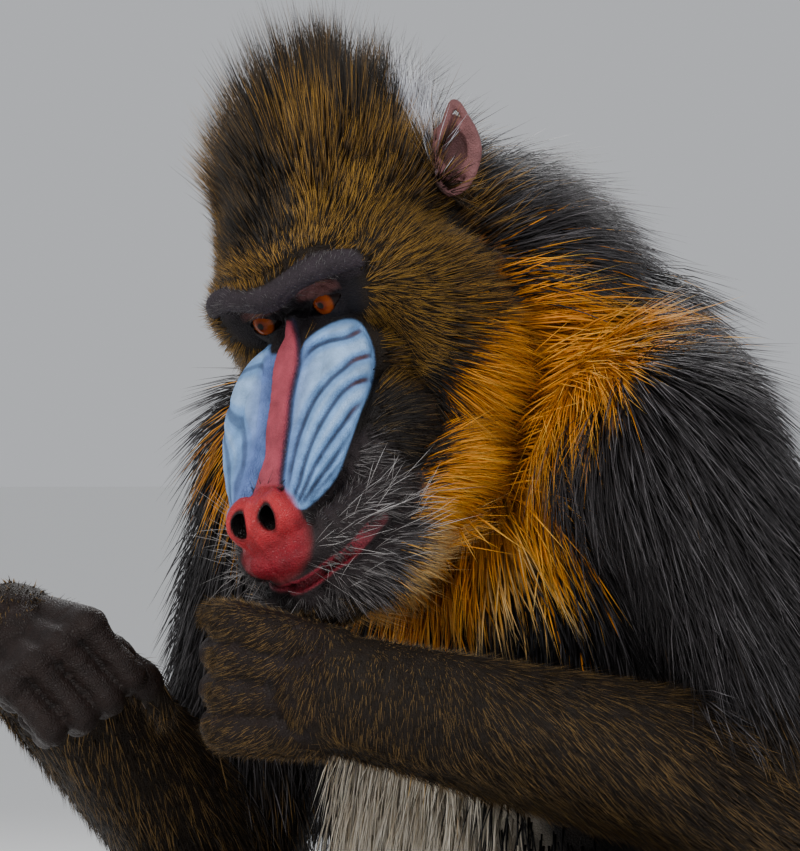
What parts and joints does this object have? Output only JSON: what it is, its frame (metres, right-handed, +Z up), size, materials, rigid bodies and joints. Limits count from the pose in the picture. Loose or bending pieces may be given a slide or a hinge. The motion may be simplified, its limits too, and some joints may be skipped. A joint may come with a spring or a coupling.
{
  "type": "mandrill figure",
  "caption": "Life-size museum model of an adult male mandrill sitting hunched, head turned and both fists raised below its mouth.",
  "frame": {"origin": "on the floor, under the middle of the model's bounding box", "axes": "+Z up, the animal's chest faces -Y and its left side is +X"},
  "size_m": [0.462, 0.5946, 0.6377],
  "materials": {
    "coat_head": "short olive-gold ticked coat, crest and bare ridged muzzle",
    "coat_mane": "long slate-black hair",
    "coat_body": "long dark hair, cream below",
    "coat_limb": "short olive-brown ticked coat",
    "bare_skin": "matt wrinkled skin",
    "seat_pad": "smooth hard skin",
    "eye": "wet gloss"
  },
  "bodies": {
    "root": {"head": "coat_head", "neck": "coat_mane", "torso": "coat_body", "tail": "coat_body", "ear_left": "bare_skin", "eye_left": "eye", "upper_arm_left": "coat_mane", "forearm_left": "coat_limb", "hand_left": "coat_limb", "thigh_left": "coat_limb", "shin_left": "coat_limb", "foot_left": "bare_skin", "seat_pad_left": "seat_pad", "ear_right": "bare_skin", "eye_right": "eye", "upper_arm_right": "coat_mane", "forearm_right": "coat_limb", "hand_right": "bare_skin", "thigh_right": "coat_limb", "shin_right": "coat_limb", "foot_right": "bare_skin", "seat_pad_right": "seat_pad"}
  },
  "joints": []
}
